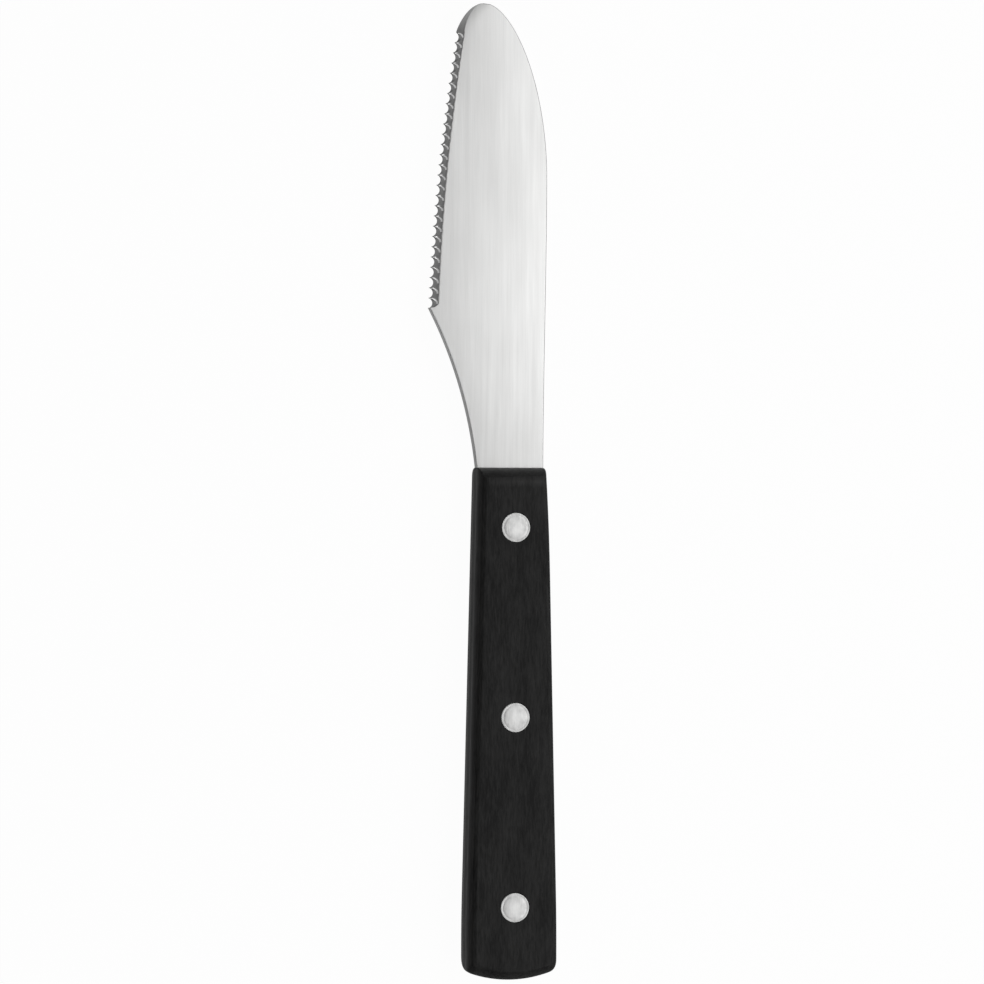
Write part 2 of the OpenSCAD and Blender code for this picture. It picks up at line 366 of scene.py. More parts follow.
# Outline of the handle
def taper(t):
    """A straight rise from 0 to 1, with a soft bend where it ends."""
    if t < 1 - TAPER_BLEND:
        return t
    if t > 1 + TAPER_BLEND:
        return 1
    return 1 - (1 + TAPER_BLEND - t) ** 2 / (4 * TAPER_BLEND)


def half_width(behind):
    return lerp(FRONT_WIDTH, rear_width, taper(behind / TAPER_LENGTH)) / 2


def eased_in(behind):
    return SPINE_EASE * (1 - clamp(behind / SPINE_EASE_LENGTH)) ** 2


def side_x(side, y, lean):
    """Reach of a side of the handle, which is -1 on the edge side and 1 on the spine side."""
    return side * (half_width(-y) - lean - (eased_in(-y) if side > 0 else 0))


def rear_y(x, lean):
    return REAR_RADIUS - handle_length - math.sqrt((REAR_RADIUS - lean) ** 2 - x * x)


def rounded(first, corner, last):
    """Points of a corner's curve, from one end to the other."""
    points = []
    for i in range(CORNER_STEPS + 1):
        t = i / CORNER_STEPS
        points.append(first * (1 - t) ** 2 + corner * 2 * t * (1 - t) + last * t * t)
    return points


def half_outline(side, lean_side, lean_front, lean_rear, corner):
    """One side of the handle's outline, from its front end to the middle of its rear end."""
    start_y = -lean_front * (1 - side * FRONT_SKEW)
    front = Vector((side_x(side, start_y, lean_side), start_y))
    side_start = Vector((side_x(side, start_y - corner, lean_side), start_y - corner))
    rear_x = rear_width / 2 - lean_side
    across = rear_x - REAR_CORNER
    rear = Vector((side * rear_x, rear_y(rear_x, lean_rear)))
    rear_start = rear + Vector((0, REAR_CORNER))
    rear_end = Vector((side * across, rear_y(across, lean_rear)))
    points = rounded(front - Vector((side * corner, 0)), front, side_start) if corner else [front]
    for i in range(1, SIDE_STEPS):
        y = lerp(side_start.y, rear_start.y, i / SIDE_STEPS)
        points.append(Vector((side_x(side, y, lean_side), y)))
    points += rounded(rear_start, rear, rear_end)
    for i in range(1, REAR_STEPS + 1):
        x = across * (1 - i / (REAR_STEPS + 0.5))
        points.append(Vector((side * x, rear_y(x, lean_rear))))
    return points


# Meshes
def numbered(points, new):
    """Adds points to a mesh's list, and gives their numbers."""
    start = len(points)
    points += new
    return list(range(start, len(points)))


def grid_faces(rows, closed=False):
    """Quads between rows of vertex numbers."""
    faces = []
    for a, b in zip(rows, rows[1:]):
        count = len(a) if closed else len(a) - 1
        for i in range(count):
            n = (i + 1) % len(a)
            faces.append((a[i], a[n], b[n], b[i]))
    return faces


def mesh_object(name, points, faces):
    mesh = bpy.data.meshes.new(name)
    mesh.from_pydata(points, [], faces)
    shape = bmesh.new()
    shape.from_mesh(mesh)
    bmesh.ops.recalc_face_normals(shape, faces=shape.faces)
    shape.to_mesh(mesh)
    shape.free()
    mesh.polygons.foreach_set("use_smooth", [True] * len(mesh.polygons))
    mesh.set_sharp_from_angle(angle=SHARP_ANGLE)
    piece = bpy.data.objects.new(name, mesh)
    bpy.context.scene.collection.objects.link(piece)
    return piece


def lathe(name, centre, profile):
    """A round piece about the Z axis. The profile starts and ends on the axis."""
    turns = [2 * math.pi * i / TURN_STEPS for i in range(TURN_STEPS)]
    points = [centre + Vector((0, 0, profile[0][1] * MM))]
    rings = []
    for r, z in profile[1:-1]:
        ring = [centre + Vector((r * math.cos(t), r * math.sin(t), z)) * MM for t in turns]
        rings.append(numbered(points, ring))
    last = len(points)
    points.append(centre + Vector((0, 0, profile[-1][1] * MM)))
    faces = grid_faces(rings, closed=True)
    for i in range(TURN_STEPS):
        n = (i + 1) % TURN_STEPS
        faces.append((0, rings[0][i], rings[0][n]))
        faces.append((last, rings[-1][n], rings[-1][i]))
    return mesh_object(name, points, faces)


# Kinds of surface on the blade, in the order of its materials
FACE, GROUND, RIM, CUT, STAINED = range(5)


def tip_stations():
    stations = []
    for i in range(TIP_STEPS):
        share = math.cos(math.pi / 2 * i / TIP_STEPS)
        y = lerp(edge_front.y, blade_length, share)
        left = Vector((tip_x(y), y))
        soft, bevel = EDGE_BREAK * smooth(share), (TIP_BEVEL * (1 - share), TIP_BEVEL)
        inward = Vector((1, 0)).lerp(normal_of(tip_x, y), smooth(share)).normalized()
        stations.append((GROUND, wall(left, inward, soft, bevel)))
    return stations


def tooth_stations():
    """Walls along the teeth, which end with a plain land at the heel."""
    stations = []
    inward = Vector((1, 0))
    for i in range(TOOTH_COUNT * TOOTH_STEPS):
        left = tooth_point(i / (TOOTH_COUNT * TOOTH_STEPS))
        width = bevel_width(left.y)
        if left.y > heel_corner.y:
            stations.append((GROUND, wall(left, inward, bevel=(width, width))))
    for i in range(HEEL_STEPS + 1):
        y = heel_corner.y - HEEL_CORNER * math.sin(math.pi / 2 * i / HEEL_STEPS)
        bevel = (HEEL_BEVEL, HEEL_BEVEL)
        stations.append((GROUND, wall(Vector((edge_x(y), y)), inward, bevel=bevel)))
    behind = heel.y + HEEL_LAND - HEEL_STEP
    stations.append((CUT, wall(Vector((edge_x(behind), behind)), inward, HEEL_BREAK)))
    return stations


def choil_stations():
    stations = []
    for i in range(CHOIL_STEPS):
        share = (i / CHOIL_STEPS) ** CHOIL_BUNCHING
        left = arc_point(heel, neck, choil_centre, share)
        turned = smooth((left - heel).length / HEEL_TURN)
        inward = Vector((1, 0)).lerp((left - choil_centre).normalized(), turned).normalized()
        stations.append((CUT, wall(left, inward, lerp(HEEL_BREAK, NECK_BREAK, share))))
    return stations


def tang_stations():
    """Pairs of walls along the tang, which has the handle's outline."""
    stations = []
    lefts, rights = (half_outline(side, 0, 0, 0, 0) for side in (-1, 1))
    for i, (left, right) in enumerate(zip(lefts, rights)):
        inward = Vector((1, 0))
        if i >= SIDE_STEPS:
            before, after = lefts[i - 1], lefts[min(i + 1, len(lefts) - 1)]
            inward = Vector((-(after - before).y, (after - before).x)).normalized()
        mirrored = Vector((-inward.x, inward.y))
        walls = wall(left, inward, EDGE_BREAK), wall(right, mirrored, EDGE_BREAK)
        stations.append((STAINED, walls[0], STAINED, walls[1]))
    return stations


def blade_stations():
    """Pairs of walls from the tip to the rear of the tang, each wall after its kind of surface."""
    stations = []
    for kind, left in tip_stations() + tooth_stations() + choil_stations():
        y = left[0].y
        right = Vector((spine_x(y), y))
        stations.append((kind, left, CUT, wall(right, -normal_of(spine_x, y), EDGE_BREAK)))
    return stations + tang_stations()


def wall_kinds(kind, points):
    """The kind of surface of each face up a wall."""
    if kind != GROUND:
        return [kind] * WALL_STEPS
    # Faces on the rim's band take the painted highlight.
    return [RIM if on_rim((a + b) / 2) else GROUND for a, b in zip(points, points[1:])]


def face_points(a, b, height):
    """Points across a face of the blade, from the edge to just short of the spine."""
    inner = 1 - FACE_MARGIN / max(2 * FACE_MARGIN, (b - a).length)
    points = []
    for i in range(1, FACE_STEPS):
        p = a.lerp(b, inner * (i / (FACE_STEPS - 1)) ** FACE_BUNCHING)
        p.z = height(p)
        points.append(p)
    return points


def cap_rows(points, left, right, left_row, right_row, top, bottom):
    """Vertex numbers across an end of the blade, from its lower face to its upper one."""
    rows = [[left_row[0]] + bottom + [right_row[0]]]
    for k in range(1, WALL_STEPS):
        inner = [left[k].lerp(right[k], i / FACE_STEPS) for i in range(1, FACE_STEPS)]
        inner_row = numbered(points, [placed(*p) for p in inner])
        rows.append([left_row[k]] + inner_row + [right_row[k]])
    rows.append([left_row[-1]] + top + [right_row[-1]])
    return rows


def make_blade():
    """The blade with its tang, and the kind of surface of each of its faces."""
    points, rings, kinds, ends = [], [], [], []
    for left_kind, left, right_kind, right in blade_stations():
        upper = face_points(left[-1], right[-1], face_top)
        lower = face_points(left[0], right[0], face_bottom)
        left_row, right_row, top, bottom = (
            numbered(points, [placed(*p) for p in row]) for row in (left, right, upper, lower)
        )
        rings.append(left_row + top + right_row[::-1] + bottom[::-1])
        ends.append((left, right, left_row, right_row, top, bottom))
        walls = wall_kinds(left_kind, left), wall_kinds(right_kind, right)
        kinds.append(walls[0] + [FACE] * FACE_STEPS + walls[1] + [FACE] * FACE_STEPS)
    faces = grid_faces(rings, closed=True)
    surface = [kind for ring in kinds[:-1] for kind in ring]
    for end, kind in ((ends[0], CUT), (ends[-1], STAINED)):
        cap = grid_faces(cap_rows(points, *end))
        faces += cap
        surface += [kind] * len(cap)
    return mesh_object("blade_ground", points, faces), surface


def lean_at(z, lean, arris):
    """How far a crowned wall of a scale has leant in at a height above the tang."""
    crown = (scale_thickness**2 + lean**2) / (2 * lean)
    z_turn = (scale_thickness - arris) / (1 - arris / crown)
    level = math.sqrt(crown**2 - z_turn**2)
    if z < z_turn:
        return crown - math.sqrt(crown**2 - z * z)
    middle = crown - level + arris * level / crown
    rise = z - scale_thickness + arris
    return middle - math.sqrt(max(0.0, arris**2 - rise**2))


# Lean and arris of a scale's sides, front and rear
LEANS = [(SIDE_LEAN, ARRIS_RADIUS), (FRONT_LEAN, FRONT_ARRIS), (REAR_LEAN, ARRIS_RADIUS)]


def scale_levels():
    """Heights above the tang of a scale's rings, each with how far in it lies besides its lean."""
    turned = max(ARRIS_RADIUS, FRONT_ARRIS)
    levels = [(scale_thickness - turned) * i / CROWN_STEPS for i in range(CROWN_STEPS)]
    for i in range(ARRIS_STEPS + 1):
        levels.append(scale_thickness - turned * (1 - math.sin(math.pi / 2 * i / ARRIS_STEPS)))
    return [(z, 0) for z in levels] + [(scale_thickness, inset) for inset in FLAT_INSETS]


def foot_of_axis(low, high):
    """Where the upright line through the middle of a box meets height 0."""
    return Vector(((low.x + high.x) / 2, (low.y + high.y) / 2, 0))


def bore(piece, centre, profile):
    """Cuts a round hole in a piece."""
    cutter = lathe("cutter", centre, profile)
    cut = piece.modifiers.new("bore", "BOOLEAN")
    cut.object = cutter
    cut.solver = "EXACT"
    bpy.context.view_layer.update()
    shown = piece.evaluated_get(bpy.context.evaluated_depsgraph_get())
    done = bpy.data.meshes.new_from_object(shown)
    piece.modifiers.clear()
    piece.data = done
    bpy.data.objects.remove(cutter)


def make_scale(name, base, up):
    """A scale on the tang face at a height, with its outer face upwards for up 1, downwards for -1."""
    points, rings = [], []
    for z, further in scale_levels():
        leans = [lean_at(z, lean, arris) + further for lean, arris in LEANS]
        left, right = (half_outline(side, *leans, FRONT_CORNER) for side in (-1, 1))
        outline = left + right[::-1]
        rings.append(numbered(points, [placed(p.x, p.y, base + up * z) for p in outline]))
    faces = grid_faces(rings, closed=True)
    for ring in (rings[0], rings[-1]):
        half = len(ring) // 2
        faces += grid_faces([ring[:half], ring[::-1][:half]])
    piece = mesh_object(name, points, faces)
    face = base + up * scale_thickness
    seat = face - up * HEAD_THICKNESS
    radius = head_diameter / 2 + RIVET_CLEARANCE
    profile = [(0, seat), (radius, seat), (radius, face + up), (0, face + up)]
    for rivet in RIVETS:
        bore(piece, foot_of_axis(*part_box(rivet + "_rivet_pin")), profile)
    piece.data.set_sharp_from_angle(angle=SHARP_ANGLE)
    weighted = piece.modifiers.new("flat_faces", "WEIGHTED_NORMAL")
    weighted.keep_sharp = True
    return piece


def head_profile(face, up):
    """A ground head with a faint groove inside its rim, from the middle of its face to its side."""
    flat = head_diameter / 2 - HEAD_RIM
    profile = [(0, face)]
    for i in range(1, HEAD_STEPS + 1):
        share = i / HEAD_STEPS
        groove = GROOVE_DEPTH * math.exp(-(((share - GROOVE_PLACE) / GROOVE_WIDTH) ** 2))
        profile.append((flat * share, face - up * (HEAD_CROWN * share**2 + groove)))
    edge = profile[-1][1]
    for i in range(1, HEAD_RIM_STEPS + 1):
        turn = math.pi / 2 * i / HEAD_RIM_STEPS
        profile.append((flat + HEAD_RIM * math.sin(turn), edge - up * HEAD_RIM * (1 - math.cos(turn))))
    return profile


def make_pin(rivet):
    low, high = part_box(rivet + "_rivet_pin")
    seat = upper_face - HEAD_THICKNESS
    profile = head_profile(upper_face, 1)
    profile += [
        (head_diameter / 2, seat),
        (PIN_DIAMETER / 2, seat),
        (PIN_DIAMETER / 2, low.z / MM),
        (0, low.z / MM),
    ]
    return lathe(rivet + "_pin_turned", foot_of_axis(low, high), profile)


def make_sleeve(rivet):
    low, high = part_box(rivet + "_rivet_sleeve")
    profile = head_profile(0, -1)
    profile += [
        (head_diameter / 2, HEAD_THICKNESS),
        (SLEEVE_DIAMETER / 2, HEAD_THICKNESS),
        (SLEEVE_DIAMETER / 2, high.z / MM),
        (PIN_DIAMETER / 2, high.z / MM),
        (PIN_DIAMETER / 2, HEAD_THICKNESS),
        (0, HEAD_THICKNESS),
    ]
    return lathe(rivet + "_sleeve_turned", foot_of_axis(low, high), profile)


# Nodes
def add_node(tree, kind, inputs=None, **settings):
    """A node with its settings, and with inputs that are values or other nodes' outputs."""
    made = tree.nodes.new(kind)
    for key, value in settings.items():
        setattr(made, key, value)
    for key, value in (inputs or {}).items():
        if isinstance(value, bpy.types.NodeSocket):
            tree.links.new(value, made.inputs[key])
        else:
            made.inputs[key].default_value = value
    return made


def worked(tree, operation, a, b=0.0):
    return add_node(tree, "ShaderNodeMath", {0: a, 1: b}, operation=operation).outputs[0]


def summed(tree, a, b):
    return worked(tree, "ADD", a, b)


def multiplied(tree, a, b):
    return worked(tree, "MULTIPLY", a, b)


def ranged(tree, value, low, high, to_low=0.0, to_high=1.0):
    """A value carried from one range to another, and held inside it."""
    mapped = add_node(
        tree,
        "ShaderNodeMapRange",
        {"Value": value, "From Min": low, "From Max": high, "To Min": to_low, "To Max": to_high},
    )
    return mapped.outputs[0]


def mixed_colour(tree, share, first, second):
    """A mix of two colours, which are values or other nodes' outputs."""
    mix = add_node(tree, "ShaderNodeMix", {0: share, 6: first, 7: second}, data_type="RGBA")
    return mix.outputs[2]


def parts_of(tree, kind, output):
    """X, Y and Z of what a new node gives."""
    whole = add_node(tree, kind).outputs[output]
    return add_node(tree, "ShaderNodeSeparateXYZ", {0: whole}).outputs


def object_place(tree):
    """X, Y and Z of a surface point, in metres."""
    return parts_of(tree, "ShaderNodeTexCoord", "Object")


def facing(tree):
    """X, Y and Z of a surface's normal."""
    return parts_of(tree, "ShaderNodeNewGeometry", "Normal")


def from_middle(tree):
    """Distance from the middle of an upright round piece, as a share of its radius."""
    parts = parts_of(tree, "ShaderNodeTexCoord", "Generated")
    x, y = (ranged(tree, parts[axis], 0.0, 1.0, -1.0, 1.0) for axis in "XY")
    return worked(tree, "SQRT", summed(tree, multiplied(tree, x, x), multiplied(tree, y, y)))


def stretched_noise(tree, size, detail=3.0, roughness=0.55):
    """Noise whose grains have about these sizes in millimetres along X, Y and Z."""
    place = add_node(tree, "ShaderNodeTexCoord").outputs["Object"]
    scale = [1 / (s * MM) for s in size]
    mapped = add_node(tree, "ShaderNodeMapping", {"Vector": place, "Scale": scale})
    noise = add_node(
        tree,
        "ShaderNodeTexNoise",
        {"Vector": mapped.outputs[0], "Scale": 1.0, "Detail": detail, "Roughness": roughness},
    )
    return noise.outputs[0]


def ray_kinds(tree):
    """Whether a ray comes from the camera, and whether it is mirrored or passed through a surface."""
    path = add_node(tree, "ShaderNodeLightPath").outputs
    mirrored = worked(tree, "MAXIMUM", path["Is Glossy Ray"], path["Is Transmission Ray"])
    return path["Is Camera Ray"], mirrored


def new_material(name):
    material = bpy.data.materials.new(name)
    material.use_nodes = True
    tree = material.node_tree
    return material, tree, tree.nodes["Principled BSDF"]


def surfaced(tree, shader, colour, roughness, constant, value):
    """Links a shader's colour and roughness, and sets a constant of it."""
    tree.links.new(colour, shader.inputs["Base Color"])
    tree.links.new(roughness, shader.inputs["Roughness"])
    shader.inputs[constant].default_value = value


def bumped(tree, shader, height, distance):
    """Bumps of a depth in millimetres."""
    bump = add_node(tree, "ShaderNodeBump", {"Height": height, "Distance": distance * MM, "Strength": 1.0})
    tree.links.new(bump.outputs[0], shader.inputs["Normal"])


def grey(value):
    return (value, value, value, 1)


# Materials
# Sizes of grains in millimetres, along X, Y and Z
FINE_BRUSHING = (0.12, 9, 0.12)
BROAD_BRUSHING = (1.1, 45, 1.1)
STEEL_CLOUD = (14, 30, 14)
GRIND_LINES = (0.5, 0.06, 0.06)
SHEAR_LINES = (0.4, 0.4, 0.05)
STAIN_SMEARS = (0.6, 5, 0.3)
WOOD_FLECKS = (0.5, 3.6, 0.5)
WOOD_PORES = (0.16, 1.5, 0.16)
WOOD_CLOUD = (4, 14, 4)
RIVET_SCRATCHES = (0.09, 2.2, 0.5)
RIVET_CLOUD = (1.1, 1.5, 1.1)

# Ranges of one noise, and of the sums of noises in three materials, that are carried to a look
NOISE_RANGE = (0.3, 0.7)
BRUSHED_RANGE = (1.0, 2.0)
WOOD_RANGE = (1.2, 1.8)
RIVET_RANGE = (0.7, 1.3)

# Depths of bumps in millimetres
BRUSHED_BUMPS = 0.002
GROUND_BUMPS = 0.003
RIM_BUMPS = 0.002
CUT_BUMPS = 0.004
STAIN_BUMPS = 0.004
WOOD_BUMPS = 0.012
RIVET_BUMPS = 0.004

# Colours
WHITE = grey(1)
BRUSHED_SHADES = (0.46, 0.46, 0.456, 1), (0.66, 0.66, 0.655, 1)
GROUND_SHADES = grey(0.21), grey(0.31)
GROUND_TIP_SHADE = grey(0.56)
# Painted shade for ground walls that face towards the tip or the handle
GROUND_TIPWARD_PAINTED_SHADE = grey(0.115)
GROUND_HANDLEWARD_PAINTED_SHADE = grey(0.13)
# Painted highlight on the scallops' rims
RIM_HIGHLIGHT_SHADES = grey(0.63), grey(0.81)
CUT_SHADES = grey(0.26), grey(0.4)
# Painted shade on the spine's wall
SPINE_PAINTED_SHADE = grey(0.13)
STAIN_SHADES = grey(0.008), (0.022, 0.022, 0.021, 1)
WOOD_SHADES = grey(0.0025), (0.0365, 0.0362, 0.0355, 1)
RIVET_SHADES = (0.35, 0.35, 0.347, 1), (0.5, 0.5, 0.495, 1)
RIVET_POLISH = (0.68, 0.68, 0.675, 1)
FLOOR_SHADE = grey(0.95)

# Roughness at the two ends of a noise's range, and the strength of a plain surface's gloss
BRUSHED_ROUGHNESS = (0.36, 0.28)
GROUND_ROUGHNESS = (0.42, 0.56)
RIM_ROUGHNESS = (0.26, 0.36)
CUT_ROUGHNESS = (0.34, 0.48)
STAIN_ROUGHNESS = (0.66, 0.5)
WOOD_ROUGHNESS = (0.52, 0.42)
RIVET_ROUGHNESS = (0.42, 0.3)
STAIN_GLOSS = 0.12
WOOD_GLOSS = 0.14

# The blade's face is darker with painted shade towards the handle, most of all by the edge, and by
# the edge near the tip. These are distances in millimetres and amounts.
FACE_SHADE_LENGTH = 31
FACE_SHADE_WIDTH = (-10, 8)
FACE_SHADE_AMOUNTS = (1.6, 0.45)
TIP_SHADE_LENGTH = (26, 9)
TIP_SHADE_WIDTH = (-12, -2)
TIP_SHADE_AMOUNT = 0.65

# The wood is lighter along a line behind its front edge, with wear and a painted highlight, and rougher
# at its ends and high on one flank
WEAR_HIGHLIGHT_LINE = 2.9
WEAR_HIGHLIGHT_CORE = 0.1
WEAR_HIGHLIGHT_WIDTH = 1.1
WEAR_HIGHLIGHT_AMOUNT = 0.7
WEAR_HIGHLIGHT_DEPTHS = (0.4, 0.05)
WEAR_HIGHLIGHT_UNEVENNESS = (0.3, 1.3)
END_GRAIN_ROUGHER = 0.4
FLANK_ROUGHER = 0.42
FLANK_HEIGHTS = (0.2, 2.8)

# A rivet's head is polished more towards its middle
POLISH_REACH = (0.1, 0.85)
POLISH_AMOUNT = 0.55

# Shares of full white that the floor gives off
FLOOR_SHOWN = 0.97
FLOOR_MIRRORED = 0.4


def painted_face_shade(tree):
    """How much shade is painted on the blade's face."""
    place = object_place(tree)
    low, high = (axis_x + x * MM for x in FACE_SHADE_WIDTH)
    across = ranged(tree, place["X"], low, high, *FACE_SHADE_AMOUNTS)
    by_handle = ranged(tree, place["Y"], front_y, front_y + FACE_SHADE_LENGTH * MM, 1.0, 0.0)
    low, high = (blade_high.y - y * MM for y in TIP_SHADE_LENGTH)
    near_tip = ranged(tree, place["Y"], low, high)
    low, high = (axis_x + x * MM for x in TIP_SHADE_WIDTH)
    at_edge = ranged(tree, place["X"], low, high, TIP_SHADE_AMOUNT, 0.0)
    return summed(tree, multiplied(tree, by_handle, across), multiplied(tree, near_tip, at_edge))


def brushed_steel():
    """Steel that is brushed along the blade, with painted shade on its face."""
    material, tree, shader = new_material("brushed_steel")
    fine = stretched_noise(tree, FINE_BRUSHING)
    broad = stretched_noise(tree, BROAD_BRUSHING, detail=2.0)
    cloud = stretched_noise(tree, STEEL_CLOUD, detail=2.0)
    brushing = summed(tree, fine, summed(tree, broad, cloud))
    # Painted shade darkens the face towards the handle and by the tip's edge.
    tone = worked(tree, "SUBTRACT", ranged(tree, brushing, *BRUSHED_RANGE), painted_face_shade(tree))
    colour = mixed_colour(tree, ranged(tree, tone, -1.0, 1.0), *BRUSHED_SHADES)
    roughness = ranged(tree, brushing, *BRUSHED_RANGE, *BRUSHED_ROUGHNESS)
    surfaced(tree, shader, colour, roughness, "Metallic", 1.0)
    bumped(tree, shader, fine, BRUSHED_BUMPS)
    return material


def ground_steel():
    """The coarse surface that the grinding leaves, with painted shade where it faces along the blade."""
    material, tree, shader = new_material("ground_steel")
    lines = stretched_noise(tree, GRIND_LINES)
    turned = facing(tree)
    # Painted shade: walls that face towards the tip or the handle get darker colours.
    steep = ranged(tree, turned["Z"], 0.4, 0.52, 1.0, 0.0)
    shaded_tipward = multiplied(tree, ranged(tree, turned["Y"], 0.2, 0.5), steep)
    shaded_handleward = ranged(tree, turned["Y"], -0.2, -0.5)
    tip_start = blade_high.y - EDGE_FRONT_DROP * MM
    at_tip = ranged(tree, object_place(tree)["Y"], tip_start, blade_high.y)
    colour = mixed_colour(tree, lines, *GROUND_SHADES)
    colour = mixed_colour(tree, at_tip, colour, GROUND_TIP_SHADE)
    colour = mixed_colour(tree, shaded_tipward, colour, GROUND_TIPWARD_PAINTED_SHADE)
    colour = mixed_colour(tree, shaded_handleward, colour, GROUND_HANDLEWARD_PAINTED_SHADE)
    roughness = ranged(tree, lines, *NOISE_RANGE, *GROUND_ROUGHNESS)
    surfaced(tree, shader, colour, roughness, "Metallic", 1.0)
    bumped(tree, shader, lines, GROUND_BUMPS)
    return material


def painted_rim_highlight():
    """A painted highlight along the rim of each scallop, as much lighter steel."""
    material, tree, shader = new_material("painted_rim_highlight")
    lines = stretched_noise(tree, GRIND_LINES)
    # Painted highlight: the rim is given a far lighter steel than the ground walls beside it.
    colour = mixed_colour(tree, lines, *RIM_HIGHLIGHT_SHADES)
    roughness = ranged(tree, lines, *NOISE_RANGE, *RIM_ROUGHNESS)
    surfaced(tree, shader, colour, roughness, "Metallic", 1.0)
    bumped(tree, shader, lines, RIM_BUMPS)
    return material


def cut_steel():
    """The blank's sheared and dressed edges, with painted shade on the spine where it faces +X."""
    material, tree, shader = new_material("cut_steel")
    lines = stretched_noise(tree, SHEAR_LINES)
    # Painted shade: steel that faces +X, towards the lamps on the right, is given a darker colour.
    on_spine = ranged(tree, facing(tree)["X"], 0.2, 0.5)
    plain = mixed_colour(tree, lines, *CUT_SHADES)
    colour = mixed_colour(tree, on_spine, plain, SPINE_PAINTED_SHADE)
    roughness = ranged(tree, lines, *NOISE_RANGE, *CUT_ROUGHNESS)
    surfaced(tree, shader, colour, roughness, "Metallic", 1.0)
    bumped(tree, shader, lines, CUT_BUMPS)
    return material


def stained_edge():
    """The edge of the tang, blackened with the stain of the scales."""
    material, tree, shader = new_material("stained_edge")
    smears = stretched_noise(tree, STAIN_SMEARS)
    colour = mixed_colour(tree, smears, *STAIN_SHADES)
    roughness = ranged(tree, smears, *NOISE_RANGE, *STAIN_ROUGHNESS)
    surfaced(tree, shader, colour, roughness, "Specular IOR Level", STAIN_GLOSS)
    bumped(tree, shader, smears, STAIN_BUMPS)
    return material


def wear_and_highlight(tree, cloud):
    """How much lighter the upper face is along its line, with wear and a painted highlight, unevenly with
    the cloud.
    """
    place = object_place(tree)
    from_line = worked(tree, "ABSOLUTE", worked(tree, "SUBTRACT", place["Y"], front_y - WEAR_HIGHLIGHT_LINE * MM))
    near_line = ranged(tree, from_line, WEAR_HIGHLIGHT_CORE * MM, WEAR_HIGHLIGHT_WIDTH * MM, WEAR_HIGHLIGHT_AMOUNT, 0.0)
    low, high = ((upper_face - depth) * MM for depth in WEAR_HIGHLIGHT_DEPTHS)
    on_top = ranged(tree, place["Z"], low, high)
    uneven = ranged(tree, cloud, *NOISE_RANGE, *WEAR_HIGHLIGHT_UNEVENNESS)
    return multiplied(tree, near_line, multiplied(tree, on_top, uneven))


def rubbing(tree):
    """How much rougher the wood is at its end grain and high on the flank at the edge side."""
    turned = facing(tree)
    end_grain = ranged(tree, turned["Y"], -0.2, -0.7, 0.0, END_GRAIN_ROUGHER)
    flank = ranged(tree, turned["X"], -0.4, -0.8)
    low, high = ((tang_top + height) * MM for height in FLANK_HEIGHTS)
    upwards = ranged(tree, object_place(tree)["Z"], low, high, 0.0, FLANK_ROUGHER)
    return summed(tree, end_grain, multiplied(tree, flank, upwards))


def black_wood():
    """Black-stained wood with short flecks of grain."""
    material, tree, shader = new_material("black_wood")
    flecks = stretched_noise(tree, WOOD_FLECKS, roughness=0.6)
    pores = stretched_noise(tree, WOOD_PORES, detail=2.0)
    cloud = stretched_noise(tree, WOOD_CLOUD, detail=2.0)
    grain = summed(tree, flecks, summed(tree, pores, cloud))
    # Wear and a painted highlight lighten the wood along the line behind its front edge.
    tone = summed(tree, ranged(tree, grain, *WOOD_RANGE), wear_and_highlight(tree, cloud))
    colour = mixed_colour(tree, ranged(tree, tone, 0.0, 2.0), *WOOD_SHADES)
    plain = ranged(tree, flecks, *NOISE_RANGE, *WOOD_ROUGHNESS)
    roughness = summed(tree, plain, rubbing(tree))
    surfaced(tree, shader, colour, roughness, "Specular IOR Level", WOOD_GLOSS)
    bumped(tree, shader, summed(tree, flecks, pores), WOOD_BUMPS)
    return material


def rivet_metal():
    """Lightly scratched aluminium."""
    material, tree, shader = new_material("rivet_aluminium")
    scratches = stretched_noise(tree, RIVET_SCRATCHES, detail=4.0, roughness=0.65)
    cloud = stretched_noise(tree, RIVET_CLOUD)
    wearing = summed(tree, scratches, cloud)
    plain = mixed_colour(tree, ranged(tree, wearing, *RIVET_RANGE), *RIVET_SHADES)
    polish = ranged(tree, from_middle(tree), *POLISH_REACH, POLISH_AMOUNT, 0.0)
    colour = mixed_colour(tree, polish, plain, RIVET_POLISH)
    roughness = ranged(tree, wearing, *RIVET_RANGE, *RIVET_ROUGHNESS)
    surfaced(tree, shader, colour, roughness, "Metallic", 1.0)
    bumped(tree, shader, scratches, RIVET_BUMPS)
    return material


def white_floor():
    """White to the eye and pale in reflections, with a part of the light left for the shadow."""
    material, tree, shader = new_material("white_floor")
    seen, mirrored = ray_kinds(tree)
    shown = multiplied(tree, seen, FLOOR_SHOWN)
    share = worked(tree, "MAXIMUM", shown, multiplied(tree, mirrored, FLOOR_MIRRORED))
    diffuse = add_node(tree, "ShaderNodeBsdfDiffuse", {"Color": FLOOR_SHADE})
    glow = add_node(tree, "ShaderNodeEmission", {"Color": WHITE, "Strength": 1.0})
    mix = add_node(tree, "ShaderNodeMixShader", {0: share, 1: diffuse.outputs[0], 2: glow.outputs[0]})
    tree.nodes.remove(shader)
    tree.links.new(mix.outputs[0], tree.nodes["Material Output"].inputs["Surface"])
    return material


# The knife's pieces
def mounted(piece, node, slot, *materials):
    """Gives a piece its materials and its place in the frame."""
    piece.data.materials.clear()
    for material in materials:
        piece.data.materials.append(material)
    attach(piece, "root")
    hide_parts(node)


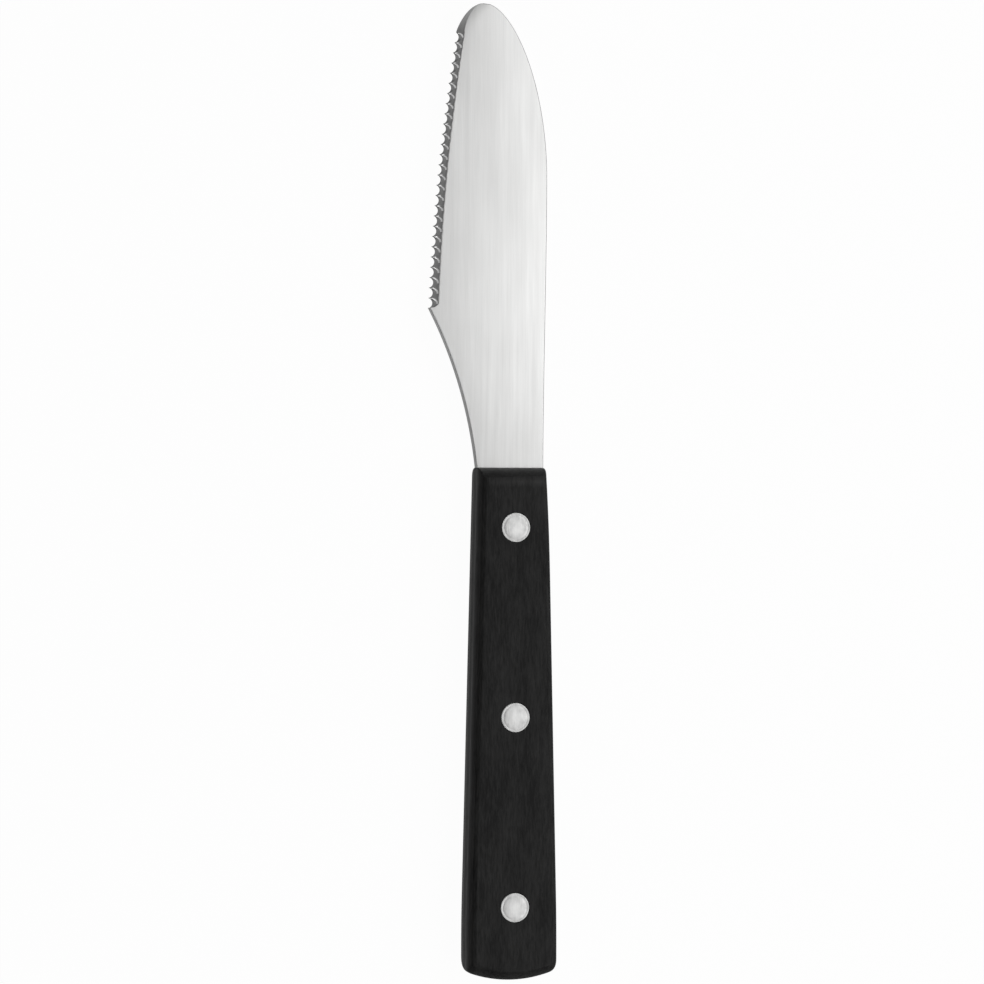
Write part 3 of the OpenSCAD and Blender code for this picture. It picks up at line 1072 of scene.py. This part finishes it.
blade_finish = [brushed_steel(), ground_steel(), painted_rim_highlight(), cut_steel(), stained_edge()]
wood = black_wood()
rivet_finish = rivet_metal()
blade, blade_kinds = make_blade()
mounted(blade, "blade", "blade_steel", *blade_finish)
blade.data.polygons.foreach_set("material_index", blade_kinds)
mounted(make_scale("upper_scale_shaped", tang_top, 1), "upper_scale", "scale_wood", wood)
mounted(make_scale("lower_scale_shaped", tang_bottom, -1), "lower_scale", "scale_wood", wood)
for rivet in RIVETS:
    mounted(make_pin(rivet), rivet + "_rivet_pin", "rivet_metal", rivet_finish)
    mounted(make_sleeve(rivet), rivet + "_rivet_sleeve", "rivet_metal", rivet_finish)

# Floor, in metres
FLOOR_SIZE = 6.0
FLOOR_GAP = 0.02 * MM
bpy.ops.mesh.primitive_plane_add(size=FLOOR_SIZE, location=(0, 0, -FLOOR_GAP))
floor = bpy.context.object
floor.name = "floor"
floor.data.materials.append(white_floor())

# Light. The walls end and the ceiling starts at a height on a sphere of radius 1 about the knife.
WORLD_LIGHT = 0.08
WALL_MIRRORED = 0.6
WALL_END = 0.72
CEILING_START = 0.9
FLAG_SHARE = 0.7
FLAG_NARROWING = 1.7
FLAG_EDGE = 0.3


def studio():
    """White to the eye. In reflections it has pale walls, a dark ceiling and a dark flag on the left."""
    world = bpy.data.worlds.new("studio")
    world.use_nodes = True
    tree = world.node_tree
    background = tree.nodes["Background"]
    background.inputs["Color"].default_value = WHITE
    seen, mirrored = ray_kinds(tree)
    way = parts_of(tree, "ShaderNodeTexCoord", "Generated")
    walls = ranged(tree, way["Z"], WALL_END, CEILING_START, WALL_MIRRORED, WORLD_LIGHT)
    aside = multiplied(tree, worked(tree, "ABSOLUTE", way["Y"]), -FLAG_NARROWING)
    leftward = worked(tree, "SUBTRACT", aside, way["X"])
    flag = ranged(tree, leftward, 0.0, FLAG_EDGE, 1.0, FLAG_SHARE)
    shown = multiplied(tree, mirrored, multiplied(tree, walls, flag))
    shown = worked(tree, "MAXIMUM", shown, seen)
    tree.links.new(worked(tree, "MAXIMUM", shown, WORLD_LIGHT), background.inputs["Strength"])
    return world


def softbox(name, place, target, width, height, radiance, roll=0.0):
    """A flat lamp with an even face of that radiance, turned about its own beam by the roll."""
    lamp = bpy.data.lights.new(name, "AREA")
    lamp.shape = "RECTANGLE"
    lamp.size = width
    lamp.size_y = height
    lamp.energy = radiance * math.pi * width * height
    holder = bpy.data.objects.new(name, lamp)
    beam = (Vector(target) - Vector(place)).to_track_quat("-Z", "Y").to_matrix()
    turned = (beam @ Matrix.Rotation(roll, 3, "Z")).to_4x4()
    holder.matrix_world = Matrix.Translation(place) @ turned
    bpy.context.scene.collection.objects.link(holder)


bpy.context.scene.world = studio()
softbox(
    "overhead", place=(0.315, 0, 0.75), target=(0.315, 0, 0), width=0.37, height=1.8, radiance=1.98
)
softbox(
    "right", place=(0.905, 0, 0.75), target=(0.905, 0, 0), width=0.81, height=1.8, radiance=1.15
)
softbox(
    "front_left",
    place=(-0.683, -0.408, 0.348),
    target=(0, 0.06, 0),
    width=0.72,
    height=0.14,
    radiance=3.0,
    roll=math.radians(57),
)

# Camera. Its lens and sensor are in millimetres, its target is a place of the drawing, and the width
# that it sees there and its clipping are in metres.
TILT = math.radians(13.1)
ROLL = math.radians(0.17)
LENS = 150
SENSOR = 36
VIEW_WIDTH = 0.2016
VIEW_X = -3.775
VIEW_Y = -4.99
CLIP_START = 0.01
target = placed(VIEW_X, VIEW_Y, upper_face / 2)
right = Vector((math.cos(TILT), 0, math.sin(TILT)))
away = Vector((-math.sin(TILT), 0, math.cos(TILT)))
distance = VIEW_WIDTH * LENS / SENSOR
axes = Matrix((right, Vector((0, 1, 0)), away)).transposed().to_4x4()
camera_data = bpy.data.cameras.new("camera")
camera_data.lens = LENS
camera_data.sensor_width = SENSOR
camera_data.clip_start = CLIP_START
camera = bpy.data.objects.new("camera", camera_data)
place = Matrix.Translation(target + away * distance)
camera.matrix_world = place @ axes @ Matrix.Rotation(ROLL, 4, "Z")
bpy.context.scene.collection.objects.link(camera)
bpy.context.scene.camera = camera
bpy.context.scene.view_settings.view_transform = "Standard"
